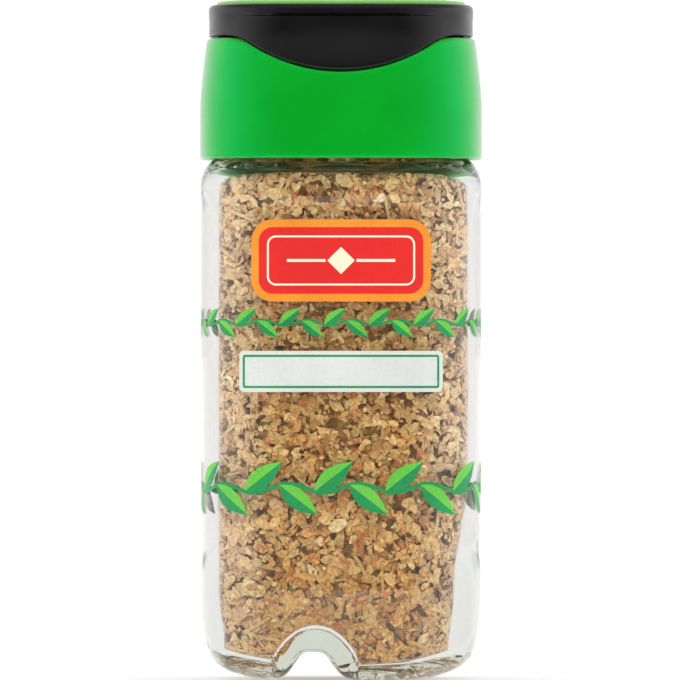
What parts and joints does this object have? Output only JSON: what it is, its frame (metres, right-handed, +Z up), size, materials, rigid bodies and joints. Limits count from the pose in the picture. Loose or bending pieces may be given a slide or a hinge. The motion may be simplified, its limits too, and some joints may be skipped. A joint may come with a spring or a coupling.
{
  "type": "spice jar",
  "caption": "Square-bodied clear glass spice jar of dried marjoram with a green plastic collar cap, a black flip lid over a sifter, and a clear wrap-round film label.",
  "frame": {"origin": "on the surface the jar stands on, under the middle of its body", "axes": "+Z up, -Y to the front where the lid's thumb lip and the printed side of the label are, +X to the right seen from the front"},
  "size_m": [0.0442, 0.0442, 0.107],
  "materials": {
    "clear_glass": "gloss",
    "label_film": "gloss",
    "dried_marjoram": "matte",
    "green_plastic": "satin",
    "black_plastic": "satin"
  },
  "bodies": {
    "jar": {"glass_jar": "clear_glass", "wrap_label": "label_film", "marjoram_fill": "dried_marjoram", "cap_collar": "green_plastic"},
    "lid": {"flip_lid": "black_plastic", "lid_inlay": "green_plastic"}
  },
  "joints": [
    {"name": "lid_hinge", "type": "hinge", "parent": "jar", "child": "lid", "pos_m": [0, 0.0202, 0.10065], "axis": [-1, 0, 0], "range_deg": [0, 110]}
  ]
}
